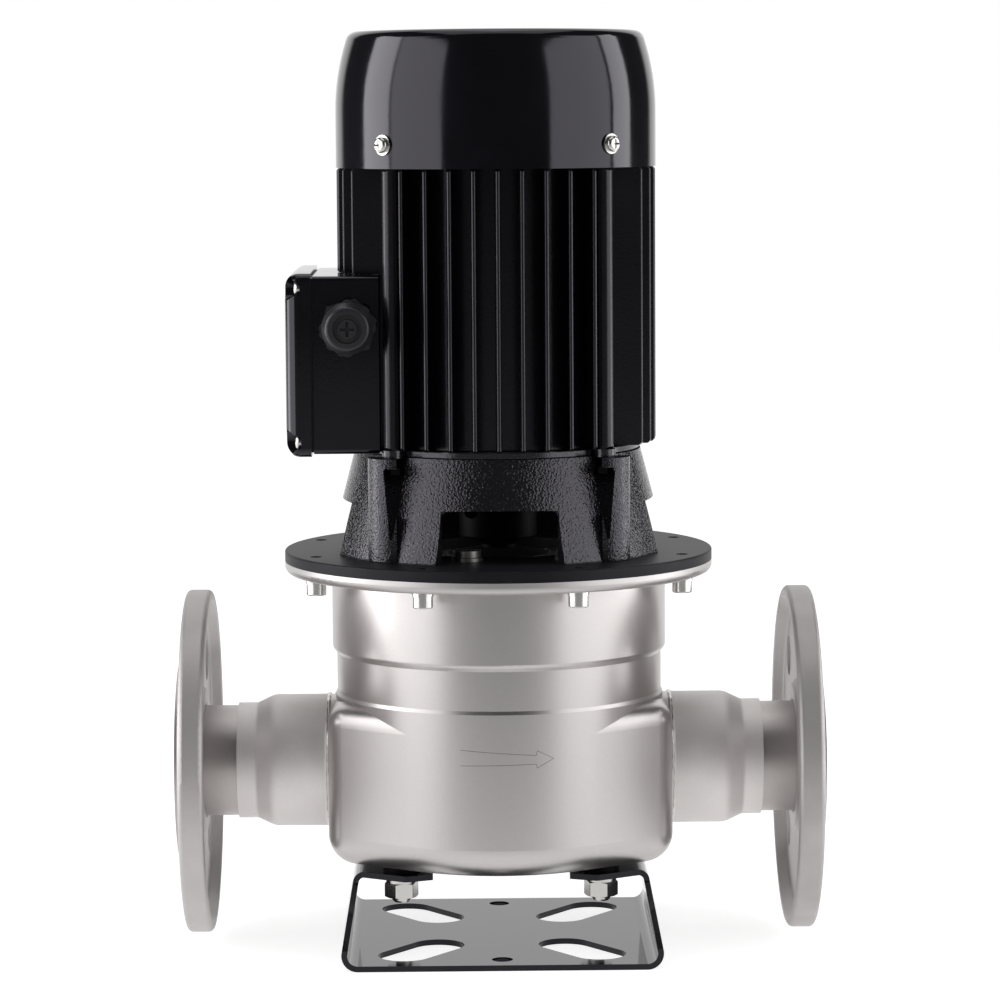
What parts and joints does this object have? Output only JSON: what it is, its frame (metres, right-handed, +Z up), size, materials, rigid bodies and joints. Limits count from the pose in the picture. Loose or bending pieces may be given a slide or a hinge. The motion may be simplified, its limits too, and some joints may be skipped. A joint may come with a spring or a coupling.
{
  "type": "inline circulation pump",
  "caption": "Vertical in-line circulation pump with a stainless casing, loose pipe flanges, a finned electric motor and a sheet-metal base.",
  "frame": {"origin": "on the shaft axis, at the underside of the base plate", "axes": "+Z up along the shaft, +X from the suction flange to the discharge flange, -Y towards the side with the cable gland"},
  "size_m": [0.28, 0.1864, 0.3972],
  "materials": {
    "bracket_paint": "gloss black paint on sheet steel",
    "fastener_steel": "bright stainless",
    "pressed_stainless": "satin pressed stainless",
    "ring_steel": "turned satin steel",
    "flange_steel": "satin pressed steel",
    "seal_plastic": "moulded",
    "seal_rubber": "moulded",
    "seal_carbon": "lapped face",
    "stool_casting": "black enamel over a coarse sand-cast skin",
    "shield_casting": "black enamel over cast aluminium, smoother than the stool",
    "motor_paint": "semi-gloss black",
    "cover_paint": "gloss black",
    "electrical_steel": "stacked sheet",
    "winding_copper": "varnished copper",
    "bearing_steel": "ground",
    "box_plastic": "gloss black",
    "board_plastic": "moulded",
    "terminal_brass": "plain",
    "gland_plastic": "moulded dark grey",
    "shaft_steel": "turned",
    "rotor_aluminium": "cast",
    "fan_plastic": "moulded",
    "coupling_steel": "blackened steel"
  },
  "bodies": {
    "housing": {"base_bracket": "bracket_paint", "stud_spacers": "fastener_steel", "casing_studs": "fastener_steel", "vent_plugs": "fastener_steel", "base_nuts": "fastener_steel", "pump_casing": "pressed_stainless", "casing_ring": "ring_steel", "casing_bolts": "fastener_steel", "suction_elbow": "pressed_stainless", "wear_ring": "seal_plastic", "suction_reducer": "pressed_stainless", "discharge_reducer": "pressed_stainless", "suction_stub": "pressed_stainless", "discharge_stub": "pressed_stainless", "pump_cover": "pressed_stainless", "cover_o_ring": "seal_rubber", "seal_seat": "seal_carbon", "seal_seat_cup": "seal_rubber", "motor_stool": "stool_casting", "tie_bolts": "fastener_steel", "lower_end_shield": "shield_casting", "shaft_lip_seal": "seal_rubber", "motor_frame": "motor_paint", "stator_core": "electrical_steel", "stator_windings": "winding_copper", "bearing_outer_rings": "bearing_steel", "wave_washer": "bearing_steel", "upper_end_shield": "shield_casting", "fan_cover": "cover_paint", "fan_cover_screws": "fastener_steel", "terminal_box": "box_plastic", "box_screws": "fastener_steel", "terminal_gasket": "seal_rubber", "terminal_cover": "box_plastic", "terminal_cover_screws": "fastener_steel", "terminal_board": "board_plastic", "terminal_studs": "terminal_brass", "terminal_links": "terminal_brass", "gland_body": "gland_plastic", "gland_lock_nut": "gland_plastic", "gland_cap": "gland_plastic", "gland_seal": "seal_rubber", "gland_plug": "gland_plastic"},
    "rotor": {"motor_shaft": "shaft_steel", "rotor_core": "electrical_steel", "rotor_end_rings": "rotor_aluminium", "bearing_inner_rings": "bearing_steel", "fan": "fan_plastic", "fan_circlip": "bearing_steel", "stub_shaft": "coupling_steel", "coupling_screws": "fastener_steel", "shaft_keys": "shaft_steel", "slinger": "seal_rubber", "impeller": "pressed_stainless", "impeller_nut": "fastener_steel", "seal_ring": "seal_carbon", "seal_bellows": "seal_rubber"},
    "ball_sets": {"bearing_ball_sets": "bearing_steel"},
    "suction_loose_flange": {"suction_flange": "flange_steel"},
    "discharge_loose_flange": {"discharge_flange": "flange_steel"}
  },
  "joints": [
    {"name": "shaft_spin", "type": "hinge", "parent": "housing", "child": "rotor", "pos_m": [0, 0, 0.23], "axis": [0, 0, 1], "continuous": true},
    {"name": "ball_sets_spin", "type": "hinge", "parent": "housing", "child": "ball_sets", "pos_m": [0, 0, 0.23], "axis": [0, 0, 1], "continuous": true},
    {"name": "suction_flange_turn", "type": "hinge", "parent": "housing", "child": "suction_loose_flange", "pos_m": [-0.13, 0, 0.0798], "axis": [1, 0, 0], "continuous": true},
    {"name": "discharge_flange_turn", "type": "hinge", "parent": "housing", "child": "discharge_loose_flange", "pos_m": [0.13, 0, 0.0798], "axis": [1, 0, 0], "continuous": true}
  ],
  "couplings": [
    {"joint": "ball_sets_spin", "follows": "shaft_spin", "ratio": 0.376}
  ]
}
